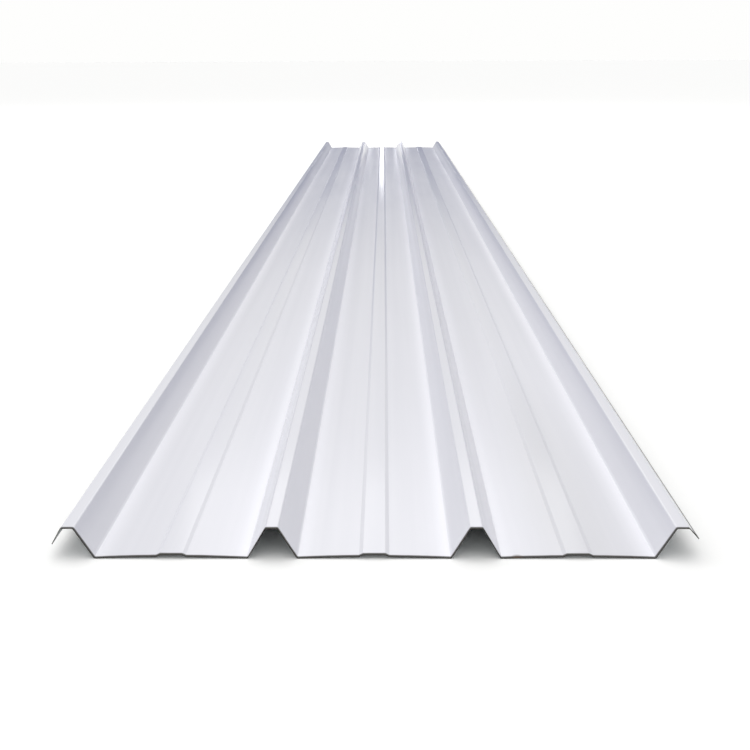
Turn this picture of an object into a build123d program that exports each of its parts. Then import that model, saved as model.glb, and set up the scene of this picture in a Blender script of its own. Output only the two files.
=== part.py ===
"""Trapezoidal roofing sheet: one roll-formed piece with four ribs, three pans and two side-lap lips.

The sheet lies on its pans. X runs across the sheet, Y along it and Z up from the underside of the pans.
"""

import os
from math import atan2, degrees, radians, sin, tan

from build123d import *

# sheet stock, all sizes in millimetres and degrees
sheet_length = 6000.0
sheet_thickness = 1.0
inner_bend_radius = 2.0

# ribs: pitch and the number of pans between them give the cover width
rib_pitch = 250.0
pan_count = 3
rib_height = 41.0
rib_top_width = 15.0
flank_angle = 60.0

# shallow raised stiffener along the middle of each pan
stiffener_base_width = 37.0
stiffener_top_width = 27.0
stiffener_height = 2.5

# side-lap lips: both reach equally far out past the top of their rib
lip_reach = 12.5
overlap_lip_drop = 14.0

# everything below is derived from the sizes above
half_thickness = sheet_thickness / 2
middle_bend_radius = inner_bend_radius + half_thickness
pan_level = half_thickness
top_level = rib_height - half_thickness
flank_run = (top_level - pan_level) / tan(radians(flank_angle))
half_top = rib_top_width / 2
half_foot = half_top + flank_run
cover_width = rib_pitch * pan_count
first_rib = -cover_width / 2
last_rib = cover_width / 2
overlap_lip_angle = degrees(atan2(overlap_lip_drop, lip_reach))


def lip_run(angle):
    """Reach of a lip on the middle line, so that its outer corner ends at lip_reach."""
    return lip_reach - half_thickness * sin(radians(angle))


def lip_end(rib_centre, side, angle):
    """Free end of the lip beside a rib; side is -1 for the left edge and 1 for the right one."""
    run = lip_run(angle)
    return (rib_centre + side * (half_top + run), top_level - run * tan(radians(angle)))


def rib_top(centre):
    """The two upper bends of a rib."""
    return [(centre - half_top, top_level), (centre + half_top, top_level)]


def pan_bends(left_rib):
    """The bends of the pan to the right of a rib: its feet and its raised stiffener."""
    middle = left_rib + rib_pitch / 2
    half_base = stiffener_base_width / 2
    half_crest = stiffener_top_width / 2
    crest_level = pan_level + stiffener_height
    return [
        (left_rib + half_foot, pan_level),
        (middle - half_base, pan_level),
        (middle - half_crest, crest_level),
        (middle + half_crest, crest_level),
        (middle + half_base, pan_level),
        (left_rib + rib_pitch - half_foot, pan_level),
    ]


# middle line of the section, from the free edge under the lap to the one over it
section_line = [lip_end(first_rib, -1, flank_angle)]
for pan in range(pan_count):
    left_rib = first_rib + pan * rib_pitch
    section_line += rib_top(left_rib)
    section_line += pan_bends(left_rib)
section_line += rib_top(last_rib)
section_line += [lip_end(last_rib, 1, overlap_lip_angle)]

os.makedirs("parts", exist_ok=True)

# the middle line with rounded bends is offset to both faces, closed by the square-cut edges and drawn out lengthwise
with BuildPart() as trapezoidal_sheet:
    with BuildSketch(Plane.XZ) as section:
        with BuildLine(mode=Mode.PRIVATE) as middle_line:
            Polyline(*section_line)
            ordered = middle_line.vertices().sort_by(Axis.X)
            fillet(ordered[1:-1], radius=middle_bend_radius)
        with BuildLine() as outline:
            path = middle_line.line
            face_a = offset(path, half_thickness, side=Side.LEFT, closed=False, mode=Mode.ADD)
            face_b = offset(path, half_thickness, side=Side.RIGHT, closed=False, mode=Mode.ADD)
            ends_a = face_a.vertices().sort_by(Axis.X)
            ends_b = face_b.vertices().sort_by(Axis.X)
            Line(ends_a[0], ends_b[0])
            Line(ends_a[-1], ends_b[-1])
        make_face()
    extrude(amount=sheet_length / 2, both=True)

trapezoidal_sheet.part.label = "trapezoidal_sheet"
export_step(trapezoidal_sheet.part, "parts/trapezoidal_sheet.step")
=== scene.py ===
"""Trapezoidal roofing sheet of coil-coated steel, lying on a pale floor. Run as a script in Blender 4.5."""

import math

import bmesh
import bpy
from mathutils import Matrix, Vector, noise


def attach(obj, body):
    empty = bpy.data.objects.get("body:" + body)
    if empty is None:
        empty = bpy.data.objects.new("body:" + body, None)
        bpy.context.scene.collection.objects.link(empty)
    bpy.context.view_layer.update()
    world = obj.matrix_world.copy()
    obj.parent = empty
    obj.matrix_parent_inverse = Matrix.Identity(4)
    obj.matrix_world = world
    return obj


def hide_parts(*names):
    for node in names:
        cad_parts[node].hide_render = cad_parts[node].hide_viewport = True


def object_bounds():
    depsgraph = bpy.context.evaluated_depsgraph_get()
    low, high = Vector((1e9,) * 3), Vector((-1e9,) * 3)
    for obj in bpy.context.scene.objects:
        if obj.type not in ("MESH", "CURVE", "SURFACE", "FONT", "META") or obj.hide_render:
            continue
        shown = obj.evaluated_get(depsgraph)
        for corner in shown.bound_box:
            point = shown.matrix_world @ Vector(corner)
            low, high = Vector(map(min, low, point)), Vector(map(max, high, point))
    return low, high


bl_info = {
    "name": "Trapezoidal Roofing Sheet",
    "version": (1, 0, 0),
    "blender": (4, 5, 0),
    "location": "View3D > Sidebar > Roofing Sheet",
    "description": "One roll-formed roofing sheet with its paint, cut edges, floor, lamps and camera",
    "category": "Add Mesh",
}

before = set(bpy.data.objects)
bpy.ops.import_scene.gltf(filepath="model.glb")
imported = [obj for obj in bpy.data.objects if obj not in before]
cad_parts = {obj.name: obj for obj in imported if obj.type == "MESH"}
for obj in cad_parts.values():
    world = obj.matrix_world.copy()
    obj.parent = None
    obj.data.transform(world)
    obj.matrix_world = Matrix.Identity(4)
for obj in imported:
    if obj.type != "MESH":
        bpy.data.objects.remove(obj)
CAD_LOW, CAD_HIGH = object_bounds()
CAD_NODE = "trapezoidal_sheet"

# a millimetre in the scene's unit, which is the metre
MM = 0.001


def size(name, default_mm, about):
    """A length that a user can change, shown in the scene's unit."""
    return bpy.props.FloatProperty(
        name=name,
        description=about,
        default=default_mm * MM,
        unit="LENGTH",
        subtype="DISTANCE",
        precision=4,
    )


def linear(hex_colour):
    """A colour written as sRGB hex, such as '#ECEDEE', turned to the linear values that shaders read."""
    channels = [int(hex_colour[i : i + 2], 16) / 255 for i in (1, 3, 5)]
    return tuple(c / 12.92 if c <= 0.04045 else ((c + 0.055) / 1.055) ** 2.4 for c in channels)


def colour(name, hex_colour, about):
    """A colour that a user can change."""
    return bpy.props.FloatVectorProperty(
        name=name,
        description=about,
        default=linear(hex_colour),
        size=3,
        min=0,
        max=1,
        subtype="COLOR",
    )


def power(name, watts, about):
    """The power of a lamp, which a user can change."""
    return bpy.props.FloatProperty(name=name, description=about, default=watts, min=0, unit="POWER")


class SheetSizes(bpy.types.PropertyGroup):
    """Sizes of the formed sheet. Widths are taken on the middle line of the steel."""

    length: bpy.props.FloatProperty(
        name="Length",
        description="Cut length along the ribs",
        default=CAD_HIGH.y - CAD_LOW.y,
        unit="LENGTH",
        subtype="DISTANCE",
    )
    rib_height: bpy.props.FloatProperty(
        name="Rib height",
        description="From the underside of the pans to the top of the ribs",
        default=CAD_HIGH.z - CAD_LOW.z,
        unit="LENGTH",
        subtype="DISTANCE",
    )
    thickness: size("Thickness", 1.0, "Gauge of the steel")
    bend_radius: size("Bend radius", 2.5, "Radius of every fold on the middle line of the steel")
    rib_pitch: size("Rib pitch", 250.0, "Distance between neighbouring ribs")
    pan_count: bpy.props.IntProperty(
        name="Pans",
        description="Number of flat pans between ribs",
        default=3,
        min=1,
    )
    rib_top_width: size("Rib top width", 15.0, "Flat top of a rib between its upper folds")
    flank_angle: bpy.props.FloatProperty(
        name="Flank angle",
        description="Slope of the rib flanks from the level",
        default=math.radians(60),
        subtype="ANGLE",
    )
    stiffener_base_width: size("Stiffener base", 37.0, "Width of the raised stiffener at its foot")
    stiffener_top_width: size("Stiffener top", 27.0, "Width of the raised stiffener at its crest")
    stiffener_height: size("Stiffener height", 2.5, "Rise of the stiffener over the pan")
    lip_reach: size("Lip reach", 12.5, "How far both side-lap lips stand out past their rib top")
    overlap_lip_drop: size("Overlap lip drop", 14.0, "Fall of the flatter lip on the right edge")
    pan_bow: size("Pan bow", 2.6, "Springy rise of each pan towards its middle")
    pan_ripple: size("Pan ripple", 0.45, "Height of the slight waves that rolling leaves in the thin pans")
    rib_waver: size("Rib waver", 0.5, "How far the ribs wander sideways along the sheet")
    wave_length: size("Wave length", 420.0, "Distance from one slight wave in a pan to the next")


class SheetColours(bpy.types.PropertyGroup):
    """Colours of the sheet's finishes."""

    top_coat: colour("Top coat", "#E1E1E7", "Weather side: light grey-white polyester")
    backing_coat: colour("Backing coat", "#B9BDBE", "Underside: thin light grey backing coat")
    # partly painted shade: the edge metal is painted dark so that it also stands for the shade line along the
    # cut
    edge_metal_and_shade: colour("Bare zinc", "#43413C", "Zinc and steel on the sheared edges, dulled by dirt")
    rust: colour("Rust", "#4A3B2B", "First rust on the sheared edges")
    # the dust colour also paints the patch of shade on the right pan
    dust: colour("Dust", "#CACACD", "Faint dust that has dried on the top coat")
    # painted reflection: the roll marks' streaky reflections in the gloss, drawn as colour
    painted_streak_reflections: colour("Roll streaks", "#CDCED6", "Faint streaks that the forming rolls leave in the gloss")
    # painted highlight: the brighter strips beside each rib foot, where the folds would catch the light
    painted_fold_highlight: colour("Burnished strips", "#EDEDF3", "Strips that the forming rolls press and brighten")
    # partly painted shade: darker than stained paint alone, standing for the shade line along the cut ends
    # and under the side-lap lips
    edge_stain_and_shade: colour("Edge creep", "#34322D", "Stained paint that lifts beside the sheared edges")


class StageSettings(bpy.types.PropertyGroup):
    """Floor, lamps and camera."""

    floor_colour: colour("Floor", "#FCFCFB", "Plain pale floor")
    floor_side: size("Floor side", 400000.0, "Side of the square floor")
    room_light: bpy.props.FloatProperty(
        name="Room light",
        description="Brightness of the room's ceiling. Its walls are dimmer by a fixed share",
        default=1.89,
        min=0,
    )
    key_power: power("Key lamp", 103.0, "Power of the large soft lamp on the left")
    side_power: power("Side lamp", 66.0, "Power of the low soft lamp on the left")
    far_power: power("Far lamp", 69.0, "Power of the high soft lamp beyond the far end")
    strip_power: power("Strip lamp", 0.4, "Power of the narrow lamp that glares on the middle stiffener")
    spot_power: power("Spot lamps", 0.08, "Power of each small lamp that glares on an inner rib top")
    lens: bpy.props.FloatProperty(name="Lens", description="Focal length in millimetres", default=49.0, min=1)


def half_rib_foot(sizes):
    """Half the width of a rib between its two feet."""
    return sizes.rib_top_width / 2 + (sizes.rib_height - sizes.thickness) / math.tan(sizes.flank_angle)


def half_pan_width(sizes):
    """Half the width of a pan between the feet of its two ribs."""
    return sizes.rib_pitch / 2 - half_rib_foot(sizes)


def lip_end(sizes, rib, side, angle):
    """Free end of the lip beside a rib as (x, z). Side is -1 for the left edge and 1 for the right one."""
    half = sizes.thickness / 2
    run = sizes.lip_reach - half * math.sin(angle)
    top = sizes.rib_height - half
    return rib + side * (sizes.rib_top_width / 2 + run), top - run * math.tan(angle)


def fold_line(sizes):
    """Folds of the section as (x, z) on the middle line, from the underlap edge to the overlap edge."""
    low = sizes.thickness / 2
    high = sizes.rib_height - low
    crest = low + sizes.stiffener_height
    half_top = sizes.rib_top_width / 2
    half_foot = half_rib_foot(sizes)
    half_base = sizes.stiffener_base_width / 2
    half_crest = sizes.stiffener_top_width / 2
    first = -sizes.rib_pitch * sizes.pan_count / 2
    last = first + sizes.pan_count * sizes.rib_pitch
    overlap_angle = math.atan2(sizes.overlap_lip_drop, sizes.lip_reach)

    folds = [lip_end(sizes, first, -1, sizes.flank_angle)]
    for pan in range(sizes.pan_count):
        rib = first + pan * sizes.rib_pitch
        middle = rib + sizes.rib_pitch / 2
        folds += [(rib - half_top, high), (rib + half_top, high), (rib + half_foot, low)]
        folds += [(middle - half_base, low), (middle - half_crest, crest)]
        folds += [(middle + half_crest, crest), (middle + half_base, low)]
        folds += [(rib + sizes.rib_pitch - half_foot, low)]
    folds += [(last - half_top, high), (last + half_top, high)]
    folds += [lip_end(sizes, last, 1, overlap_angle)]
    return folds


def runs_along(edge):
    """True for an edge that lies along the ribs."""
    way = edge.verts[1].co - edge.verts[0].co
    return abs(way.y) > abs(way.x) + abs(way.z)


def folds_of(mesh):
    """The edges along the ribs that join two strips of the sheet."""
    return [e for e in mesh.edges if runs_along(e) and len(e.link_faces) == 2]


def round_folds(mesh, radius, segments):
    """Gives every fold its bend radius.

    Folds of one angle are bevelled together, as the offset depends on the angle.
    """
    angle_slack = 0.002
    angles = sorted({round(e.calc_face_angle(), 3) for e in folds_of(mesh)})
    for angle in angles:
        bmesh.ops.bevel(
            mesh,
            geom=[e for e in folds_of(mesh) if abs(e.calc_face_angle() - angle) < angle_slack],
            offset=radius * math.tan(angle / 2),
            offset_type="OFFSET",
            segments=segments,
            profile=0.5,
            affect="EDGES",
            material=-1,
            clamp_overlap=False,
        )


def cut_flats(mesh, widest):
    """Cuts the flats lengthwise into strips no wider than widest, so that they can bow."""
    length_slack = 0.1 * MM
    lengths = sorted({round(e.calc_length(), 4) for e in mesh.edges if not runs_along(e)})
    for length in lengths:
        cuts = int(length / widest)
        if cuts:
            across = [e for e in mesh.edges if not runs_along(e)]
            same = [e for e in across if abs(e.calc_length() - length) < length_slack]
            bmesh.ops.subdivide_edges(mesh, edges=same, cuts=cuts, use_grid_fill=True)


def spring(mesh, sizes):
    """Adds what forming and handling leave.

    The pans bow and have slight waves, and the ribs wander a little, less so towards the long edges.
    """
    half_pan = half_pan_width(sizes)
    half_cover = sizes.rib_pitch * sizes.pan_count / 2
    long_edge = half_cover + sizes.rib_top_width / 2 + sizes.lip_reach
    ripples_per_pitch = 1.7
    least_bow, bow_range = 0.85, 0.3
    # the third number of each noise keeps the three patterns apart
    ripple_layer, bow_layer, waver_layer = 3.1, 8.4, 5.7
    for v in mesh.verts:
        x, y = v.co.x, v.co.y
        from_middle = (x + half_cover) % sizes.rib_pitch - sizes.rib_pitch / 2
        share = max(0.0, 1 - (from_middle / half_pan) ** 2) if abs(x) < half_cover else 0.0
        ripple = noise.noise(
            Vector((x / sizes.rib_pitch * ripples_per_pitch, y / sizes.wave_length, ripple_layer))
        )
        # the bow and the waver change slowly, over several wave lengths
        bow = noise.noise(Vector((x * 0.6, y / (4 * sizes.wave_length), bow_layer)))
        waver = noise.noise(Vector((x * 1.2, y / (3 * sizes.wave_length), waver_layer)))
        v.co.z += share * (sizes.pan_bow * (least_bow + bow_range * bow) + sizes.pan_ripple * ripple)
        v.co.x += sizes.rib_waver * waver * (1 - min(1.0, abs(x) / long_edge) ** 4)


def add_node(tree, kind, inputs=None, links=None, **settings):
    """Adds one node, sets its settings and input values, and joins outputs of other nodes to its inputs."""
    node = tree.nodes.new(kind)
    for name, value in settings.items():
        setattr(node, name, value)
    for key, value in (inputs or {}).items():
        node.inputs[key].default_value = value
    for key, output in (links or {}).items():
        tree.links.new(output, node.inputs[key])
    return node


def new_material(name):
    """An empty material with its output node."""
    made = bpy.data.materials.new(name)
    made.use_nodes = True
    made.node_tree.nodes.clear()
    return made, made.node_tree, made.node_tree.nodes.new("ShaderNodeOutputMaterial")


def ramp(tree, factor, stops):
    """A colour ramp with (position, grey or colour) stops."""
    node = add_node(tree, "ShaderNodeValToRGB", links={"Fac": factor})
    band = node.color_ramp
    while len(band.elements) < len(stops):
        band.elements.new(0.5)
    for element, (position, value) in zip(band.elements, stops):
        element.position = position
        element.color = (*value, 1) if isinstance(value, tuple) else (value, value, value, 1)
    return node.outputs["Color"]


def mix_colour(tree, factor, first, second):
    """First colour where factor is 0, second where it is 1. Either is a colour or another node's output."""
    inputs = {}
    links = {"Factor": factor}
    for key, value in (("A", first), ("B", second)):
        if isinstance(value, bpy.types.NodeSocket):
            links[key] = value
        else:
            inputs[key] = (*value, 1)
    return add_node(tree, "ShaderNodeMix", data_type="RGBA", inputs=inputs, links=links).outputs["Result"]


def squeezed(tree, place, share):
    """Place with its length squeezed to a share, so that marks drawn from it are long and narrow."""
    return add_node(
        tree,
        "ShaderNodeMapping",
        inputs={"Scale": (1, share, 1)},
        links={"Vector": place},
    ).outputs["Vector"]


def marks(tree, place, width, detail, roughness=0.5):
    """Noise with marks about one width across."""
    return add_node(
        tree,
        "ShaderNodeTexNoise",
        inputs={"Scale": 1 / width, "Detail": detail, "Roughness": roughness},
        links={"Vector": place},
    ).outputs["Fac"]


def near_cut(tree, place, side_width, end_width, uneven):
    """1 on the cut edges of the sheet, fading to 0 at a width inside them that noise makes uneven."""
    axes = add_node(tree, "ShaderNodeSeparateXYZ", links={"Vector": place}).outputs
    wander = marks(tree, place, 25 * MM, detail=4.0)
    shares = []
    for axis, reach, width in (("X", CAD_HIGH.x, side_width), ("Y", CAD_HIGH.y, end_width)):
        out = add_node(tree, "ShaderNodeMath", operation="ABSOLUTE", links={0: axes[axis]}).outputs[0]
        moved = add_node(
            tree,
            "ShaderNodeMath",
            operation="MULTIPLY_ADD",
            inputs={1: uneven},
            links={0: wander, 2: out},
        ).outputs[0]
        share = add_node(
            tree,
            "ShaderNodeMapRange",
            inputs={"From Min": reach - width + uneven / 2, "From Max": reach + uneven / 2},
            links={"Value": moved},
        ).outputs["Result"]
        shares.append(share)
    return add_node(
        tree,
        "ShaderNodeMath",
        operation="MAXIMUM",
        links={0: shares[0], 1: shares[1]},
    ).outputs[0]


def patch(tree, place, centre, core, rim, stretch):
    """1 within the core radius of a centre, fading to 0 at the rim radius, and drawn out along the sheet."""
    away = add_node(
        tree,
        "ShaderNodeVectorMath",
        operation="DISTANCE",
        inputs={1: (centre[0], centre[1] / stretch, centre[2])},
        links={0: squeezed(tree, place, 1 / stretch)},
    ).outputs["Value"]
    return add_node(
        tree,
        "ShaderNodeMapRange",
        inputs={"From Min": rim, "From Max": core},
        links={"Value": away},
    ).outputs["Result"]


def rust_spot(tree, place):
    """The rust spot on the near cut end, beside the foot of the third rib."""
    centre = (175 * MM, CAD_LOW.y, 0.5 * MM)
    return patch(tree, place, centre, core=2 * MM, rim=9 * MM, stretch=1)


def fold_highlight_strips(tree, across, sizes):
    """1 on the strips beside the rib feet where a highlight is painted, fading towards mid-pan."""
    strip_width = 28 * MM
    past_foot = 2 * MM
    half_pan = half_pan_width(sizes)
    from_middle = add_node(
        tree,
        "ShaderNodeMath",
        operation="PINGPONG",
        inputs={1: sizes.rib_pitch / 2},
        links={0: across},
    ).outputs[0]
    to_foot = add_node(
        tree,
        "ShaderNodeMapRange",
        inputs={"From Min": half_pan - strip_width, "From Max": half_pan + past_foot},
        links={"Value": from_middle},
    ).outputs["Result"]
    return ramp(tree, to_foot, [(0.0, 0.0), (0.35, 0.3), (0.75, 1.0), (0.95, 1.0), (1.0, 0.0)])


def painted_shade_patch(tree, place):
    """A faint broad patch of painted shade on the stiffener of the right pan, near the cut end, drawn in the
    dust colour.
    """
    centre = (260 * MM, CAD_LOW.y + 150 * MM, 3 * MM)
    spread = patch(tree, place, centre, core=25 * MM, rim=75 * MM, stretch=9)
    return ramp(tree, spread, [(0.0, 0.0), (1.0, 0.45)])


def rubbed_gloss(tree, across, sizes):
    """Roughness of clean paint. Rib tops and stiffeners, half a pitch apart, are polished by rubbing."""
    polished, unrubbed = 0.105, 0.165
    half_crest = sizes.stiffener_top_width / 2
    half_rubbed = 1.4 * half_crest
    off_crest = add_node(
        tree,
        "ShaderNodeMath",
        operation="PINGPONG",
        inputs={1: sizes.rib_pitch / 4},
        links={0: across},
    ).outputs[0]
    return add_node(
        tree,
        "ShaderNodeMapRange",
        inputs={
            "From Min": half_crest,
            "From Max": half_rubbed,
            "To Min": polished,
            "To Max": unrubbed,
        },
        links={"Value": off_crest},
    ).outputs["Result"]


def polyester_top_coat(colours, sizes):
    """Coil-coated polyester: semi-gloss paint with roll marks drawn as painted reflections, a trace of dust,
    painted highlights beside the rib feet, a patch of painted shade and cut edges with stain and painted
    shade.
    """
    made, tree, output = new_material("polyester_coil_coat_grey_white")
    place = add_node(tree, "ShaderNodeTexCoord").outputs["Object"]
    across = add_node(tree, "ShaderNodeSeparateXYZ", links={"Vector": place}).outputs["X"]

    # dust marks about 90 mm across, drawn out along the sheet by handling and rain
    dust = marks(tree, squeezed(tree, place, 0.12), 90 * MM, detail=5.0, roughness=0.6)
    dusty = mix_colour(tree, ramp(tree, dust, [(0.45, 0.0), (0.8, 0.10)]), colours.top_coat, colours.dust)
    # painted reflections: faint streaks about 30 mm wide that run for metres, standing for the reflections of
    # roll marks in the gloss
    streak_reflection_marks = marks(tree, squeezed(tree, place, 0.015), 30 * MM, detail=3.0, roughness=0.55)
    with_streak_reflections = mix_colour(tree, ramp(tree, streak_reflection_marks, [(0.35, 0.0), (0.7, 0.22)]), dusty, colours.painted_streak_reflections)
    # painted highlight along the strips beside the rib feet
    with_fold_highlights = mix_colour(tree, fold_highlight_strips(tree, across, sizes), with_streak_reflections, colours.painted_fold_highlight)
    # painted shade: the right pan drawn darker near the cut end, where the lamps would leave it dimmer
    with_shade_patch = mix_colour(tree, painted_shade_patch(tree, place), with_fold_highlights, colours.dust)
    # dirt and lifted paint, with painted shade along the cut, up to 7 mm in from the long edges and 5 mm in
    # from the ends
    edges = near_cut(tree, place, side_width=9 * MM, end_width=6.5 * MM, uneven=1.5 * MM)
    stain_and_shade_mask = ramp(tree, edges, [(0.25, 0.0), (0.6, 0.95)])
    stained_and_shaded = mix_colour(tree, stain_and_shade_mask, with_shade_patch, colours.edge_stain_and_shade)
    shade = mix_colour(tree, rust_spot(tree, place), stained_and_shaded, colours.rust)

    # orange peel is 0.5 to 1 mm across on the real paint, drawn at 2 mm so that it shows
    bump = add_node(
        tree,
        "ShaderNodeBump",
        inputs={"Strength": 0.05, "Distance": 0.05 * MM},
        links={"Height": marks(tree, place, 2 * MM, detail=2.0)},
    ).outputs["Normal"]

    # dust dulls the paint a little, and lifted paint has lost its gloss
    creep_dulls = 0.6
    dust_dulls = ramp(tree, dust, [(0.3, 0.0), (0.8, 0.06)])
    clean = add_node(
        tree,
        "ShaderNodeMath",
        operation="ADD",
        links={0: rubbed_gloss(tree, across, sizes), 1: dust_dulls},
    ).outputs[0]
    gloss = add_node(
        tree,
        "ShaderNodeMath",
        operation="MULTIPLY_ADD",
        inputs={1: creep_dulls},
        links={0: stain_and_shade_mask, 2: clean},
    ).outputs[0]
    paint = add_node(
        tree,
        "ShaderNodeBsdfPrincipled",
        inputs={"IOR": 1.5, "Metallic": 0.0},
        links={"Base Color": shade, "Roughness": gloss, "Normal": bump},
    )
    tree.links.new(paint.outputs["BSDF"], output.inputs["Surface"])
    return made


def epoxy_backing_coat(colours):
    """Thin epoxy primer and backing coat on the underside: flatter and greyer than the weather side."""
    made, tree, output = new_material("epoxy_backing_coat_grey")
    place = add_node(tree, "ShaderNodeTexCoord").outputs["Object"]
    patches = marks(tree, place, 150 * MM, detail=4.0)
    paint = add_node(
        tree,
        "ShaderNodeBsdfPrincipled",
        inputs={"Base Color": (*colours.backing_coat, 1), "IOR": 1.5, "Metallic": 0.0},
        links={"Roughness": ramp(tree, patches, [(0.3, 0.48), (0.7, 0.56)])},
    )
    tree.links.new(paint.outputs["BSDF"], output.inputs["Surface"])
    return made


def sheared_galvanised_edge(colours):
    """Sheared edge of galvanised steel: dull grey metal, painted darker as shade along the cut, with the
    first freckles of rust.
    """
    made, tree, output = new_material("sheared_galvanised_edge")
    place = add_node(tree, "ShaderNodeTexCoord").outputs["Object"]
    freckles = marks(tree, place, 14 * MM, detail=4.0, roughness=0.65)
    rusted = add_node(
        tree,
        "ShaderNodeMath",
        operation="MAXIMUM",
        links={0: ramp(tree, freckles, [(0.55, 0.0), (0.72, 0.85)]), 1: rust_spot(tree, place)},
    ).outputs[0]
    # the steel is metallic where no rust covers it
    metal = add_node(
        tree,
        "ShaderNodeBsdfPrincipled",
        inputs={"Roughness": 0.55},
        links={
            "Base Color": mix_colour(tree, rusted, colours.edge_metal_and_shade, colours.rust),
            "Metallic": ramp(tree, rusted, [(0.0, 1.0), (1.0, 0.0)]),
        },
    )
    tree.links.new(metal.outputs["BSDF"], output.inputs["Surface"])
    return made


def matt_floor_paint(stage):
    """Matt studio floor: plain and pale."""
    made, tree, output = new_material("matt_floor_paint")
    paint = add_node(
        tree,
        "ShaderNodeBsdfPrincipled",
        inputs={"Base Color": (*stage.floor_colour, 1), "Roughness": 1.0, "Specular IOR Level": 0.0},
    )
    tree.links.new(paint.outputs["BSDF"], output.inputs["Surface"])
    return made


def drawn_section(sizes):
    """The sheet without thickness, as flat strips drawn through its folds from end to end."""
    mesh = bmesh.new()
    near_end = [mesh.verts.new((x, -sizes.length / 2, z)) for x, z in fold_line(sizes)]
    near_edges = [mesh.edges.new(pair) for pair in zip(near_end, near_end[1:])]
    drawn = bmesh.ops.extrude_edge_only(mesh, edges=near_edges)
    far_end = [part for part in drawn["geom"] if isinstance(part, bmesh.types.BMVert)]
    bmesh.ops.translate(mesh, verts=far_end, vec=(0, sizes.length, 0))
    bmesh.ops.recalc_face_normals(mesh, faces=mesh.faces)
    if sum(f.normal.z for f in mesh.faces) < 0:
        bmesh.ops.reverse_faces(mesh, faces=mesh.faces)
    return mesh


def thicken(context, sheet, thickness):
    """Gives the sheet its gauge, with the backing coat below and the sheared edge around it."""
    skin = sheet.data
    wall = sheet.modifiers.new("steel_thickness", "SOLIDIFY")
    wall.thickness = thickness
    wall.offset = 0
    wall.use_even_offset = True
    wall.material_offset = 1
    wall.material_offset_rim = 2
    context.view_layer.update()
    thick = bpy.data.meshes.new_from_object(sheet.evaluated_get(context.evaluated_depsgraph_get()))
    sheet.modifiers.clear()
    sheet.data = thick
    bpy.data.meshes.remove(skin)
    thick.name = "formed_sheet"


def shade_smooth(sheet):
    """Smooths the bends and keeps the flats flat and the cut edges sharp."""
    mesh = sheet.data
    mesh.polygons.foreach_set("use_smooth", [True] * len(mesh.polygons))
    mesh.set_sharp_from_angle(angle=math.radians(50))
    flats = sheet.modifiers.new("flat_faces_stay_flat", "WEIGHTED_NORMAL")
    flats.keep_sharp = True
    flats.weight = 100


class ROOFING_OT_formed_sheet(bpy.types.Operator):
    """Draw the sheet through its folds, give it thickness and finish it"""

    bl_idname = "roofing.formed_sheet"
    bl_label = "Formed Sheet"

    def execute(self, context):
        sizes = context.scene.roofing_sizes
        colours = context.scene.roofing_colours
        strip_width = 16 * MM
        station_spacing = 55 * MM

        mesh = drawn_section(sizes)
        round_folds(mesh, sizes.bend_radius, segments=4)
        cut_flats(mesh, strip_width)
        along = [e for e in mesh.edges if runs_along(e)]
        stations = int(sizes.length / station_spacing)
        bmesh.ops.subdivide_edges(mesh, edges=along, cuts=stations, use_grid_fill=True)
        spring(mesh, sizes)

        skin = bpy.data.meshes.new("formed_sheet")
        mesh.to_mesh(skin)
        mesh.free()
        sheet = bpy.data.objects.new("formed_sheet", skin)
        context.scene.collection.objects.link(sheet)
        skin.materials.append(polyester_top_coat(colours, sizes))
        skin.materials.append(epoxy_backing_coat(colours))
        skin.materials.append(sheared_galvanised_edge(colours))
        thicken(context, sheet, sizes.thickness)
        shade_smooth(sheet)

        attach(sheet, "root")
        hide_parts(CAD_NODE)
        return {"FINISHED"}


def studio_floor(context, stage):
    """A plain floor a hair below the pans, so that the two never share a plane."""
    slab = bmesh.new()
    bmesh.ops.create_grid(slab, x_segments=1, y_segments=1, size=stage.floor_side / 2)
    bmesh.ops.translate(slab, verts=slab.verts, vec=(0, 0, -0.2 * MM))
    skin = bpy.data.meshes.new("studio_floor")
    slab.to_mesh(skin)
    slab.free()
    skin.materials.append(matt_floor_paint(stage))
    floor = bpy.data.objects.new("studio_floor", skin)
    context.scene.collection.objects.link(floor)


def soft_lamp(context, name, place, target, width, length, watts):
    """A soft rectangular lamp at place, turned to target."""
    data = bpy.data.lights.new(name, "AREA")
    data.shape = "RECTANGLE"
    data.size = width
    data.size_y = length
    data.energy = watts
    lamp = bpy.data.objects.new(name, data)
    lamp.location = place
    lamp.rotation_euler = (Vector(target) - Vector(place)).to_track_quat("-Z", "Y").to_euler()
    lamp.visible_camera = False
    context.scene.collection.objects.link(lamp)


def studio_lamps(context, stage):
    """Three large lamps that shape the ribs, and three small ones beyond the far end that glare there."""
    near_half = (0, -1, 0)
    far_end = (0, CAD_HIGH.y, 0)
    # name, place, target, width, length and power
    lamps = (
        ("key_lamp", (-6.5, 1.4, 5.8), near_half, 5.0, 5.0, stage.key_power),
        ("side_lamp", (-8.5, -1.0, 2.6), near_half, 6.0, 2.5, stage.side_power),
        ("far_lamp", (0, 6.5, 6.5), near_half, 5.0, 5.0, stage.far_power),
        ("strip_lamp", (-0.02, 9.0, 0.68), far_end, 0.075, 0.42, stage.strip_power),
        ("left_spot_lamp", (-0.215, 9.0, 0.5), far_end, 0.06, 0.1, stage.spot_power),
        ("right_spot_lamp", (0.215, 9.0, 0.5), far_end, 0.06, 0.1, stage.spot_power),
    )
    for name, place, target, width, length, watts in lamps:
        soft_lamp(context, name, place, target, width, length, watts)


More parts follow.
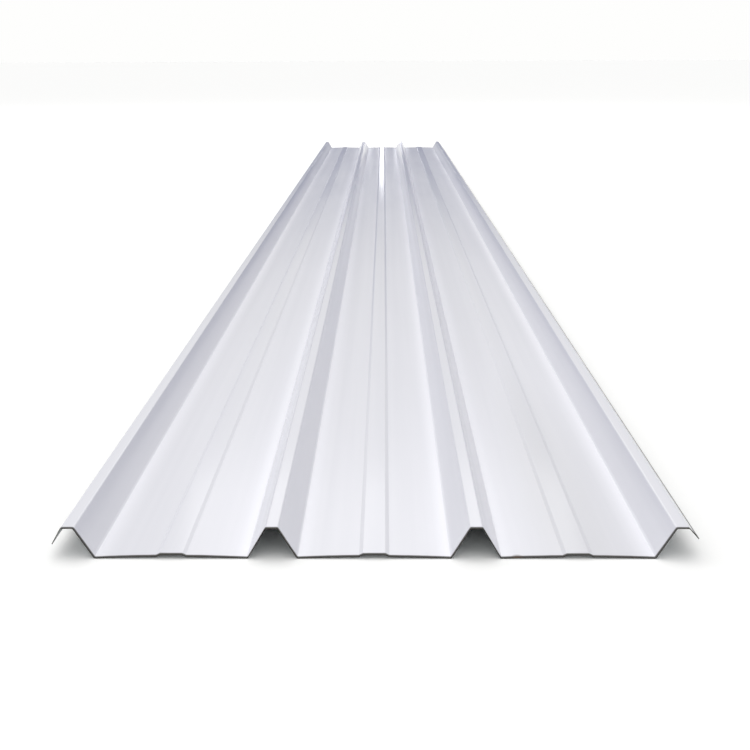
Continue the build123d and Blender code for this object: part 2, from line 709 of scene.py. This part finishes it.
def studio_room(context, stage):
    """The room that lights the sheet, with a plain pale backdrop where the camera sees past the floor."""
    room = bpy.data.worlds.new("studio_room")
    room.use_nodes = True
    tree = room.node_tree
    tree.nodes.clear()
    output = tree.nodes.new("ShaderNodeOutputWorld")
    way = add_node(tree, "ShaderNodeTexCoord").outputs["Generated"]
    height = add_node(tree, "ShaderNodeSeparateXYZ", links={"Vector": way}).outputs["Z"]
    # the room brightens from the dim foot of its walls up to the ceiling; stops are sines of the elevation
    foot = (0.012, 0.022, 0.08)
    shades = ramp(
        tree,
        height,
        [(0.0, foot), (0.12, foot), (0.17, 0.26), (0.5, 0.33), (0.75, 0.42), (0.87, 0.8), (1.0, 1.0)],
    )
    lit = add_node(
        tree,
        "ShaderNodeBackground",
        inputs={"Strength": stage.room_light},
        links={"Color": shades},
    ).outputs["Background"]
    plain = add_node(
        tree,
        "ShaderNodeBackground",
        inputs={"Color": (*linear("#FEFEFD"), 1)},
    ).outputs["Background"]
    seen = add_node(tree, "ShaderNodeLightPath").outputs["Is Camera Ray"]
    mixed = add_node(tree, "ShaderNodeMixShader", links={0: seen, 1: lit, 2: plain}).outputs["Shader"]
    tree.links.new(mixed, output.inputs["Surface"])
    context.scene.world = room
    context.scene.view_settings.view_transform = "Standard"


def studio_camera(context, stage):
    """The camera, a step before the near end and looking down along the sheet."""
    aside, before_end, height = 0.0126, 1.1287, 0.5863
    pitch, roll, turn = (math.radians(angle) for angle in (72.7534, 0.2199, 0.4820))
    data = bpy.data.cameras.new("camera")
    data.lens = stage.lens
    data.sensor_width = 36
    data.clip_start = 0.01
    data.clip_end = 1000
    camera = bpy.data.objects.new("camera", data)
    camera.location = (aside, CAD_LOW.y - before_end, height)
    camera.rotation_euler = (pitch, roll, turn)
    context.scene.collection.objects.link(camera)
    context.scene.camera = camera


class ROOFING_OT_stage(bpy.types.Operator):
    """Lay the pale floor, hang the soft lamps and place the camera"""

    bl_idname = "roofing.stage"
    bl_label = "Stage"

    def execute(self, context):
        stage = context.scene.roofing_stage
        studio_floor(context, stage)
        studio_lamps(context, stage)
        studio_room(context, stage)
        studio_camera(context, stage)
        return {"FINISHED"}


class ROOFING_PT_sheet(bpy.types.Panel):
    """Sizes, colours and steps of the roofing sheet"""

    bl_idname = "ROOFING_PT_sheet"
    bl_label = "Roofing Sheet"
    bl_space_type = "VIEW_3D"
    bl_region_type = "UI"
    bl_category = "Roofing Sheet"

    def draw(self, context):
        scene = context.scene
        for group in (scene.roofing_sizes, scene.roofing_colours, scene.roofing_stage):
            box = self.layout.box()
            for name in group.bl_rna.properties.keys():
                if name not in ("rna_type", "name"):
                    box.prop(group, name)
        self.layout.operator(ROOFING_OT_formed_sheet.bl_idname)
        self.layout.operator(ROOFING_OT_stage.bl_idname)


CLASSES = (
    SheetSizes,
    SheetColours,
    StageSettings,
    ROOFING_OT_formed_sheet,
    ROOFING_OT_stage,
    ROOFING_PT_sheet,
)


def register():
    """Adds the classes and the settings that each scene carries."""
    for made in CLASSES:
        bpy.utils.register_class(made)
    bpy.types.Scene.roofing_sizes = bpy.props.PointerProperty(type=SheetSizes)
    bpy.types.Scene.roofing_colours = bpy.props.PointerProperty(type=SheetColours)
    bpy.types.Scene.roofing_stage = bpy.props.PointerProperty(type=StageSettings)


def unregister():
    """Takes out what register added."""
    for name in ("roofing_stage", "roofing_colours", "roofing_sizes"):
        delattr(bpy.types.Scene, name)
    for made in reversed(CLASSES):
        bpy.utils.unregister_class(made)


def main():
    """Builds the sheet and the stage."""
    register()
    bpy.ops.roofing.formed_sheet()
    bpy.ops.roofing.stage()


if __name__ == "__main__":
    main()
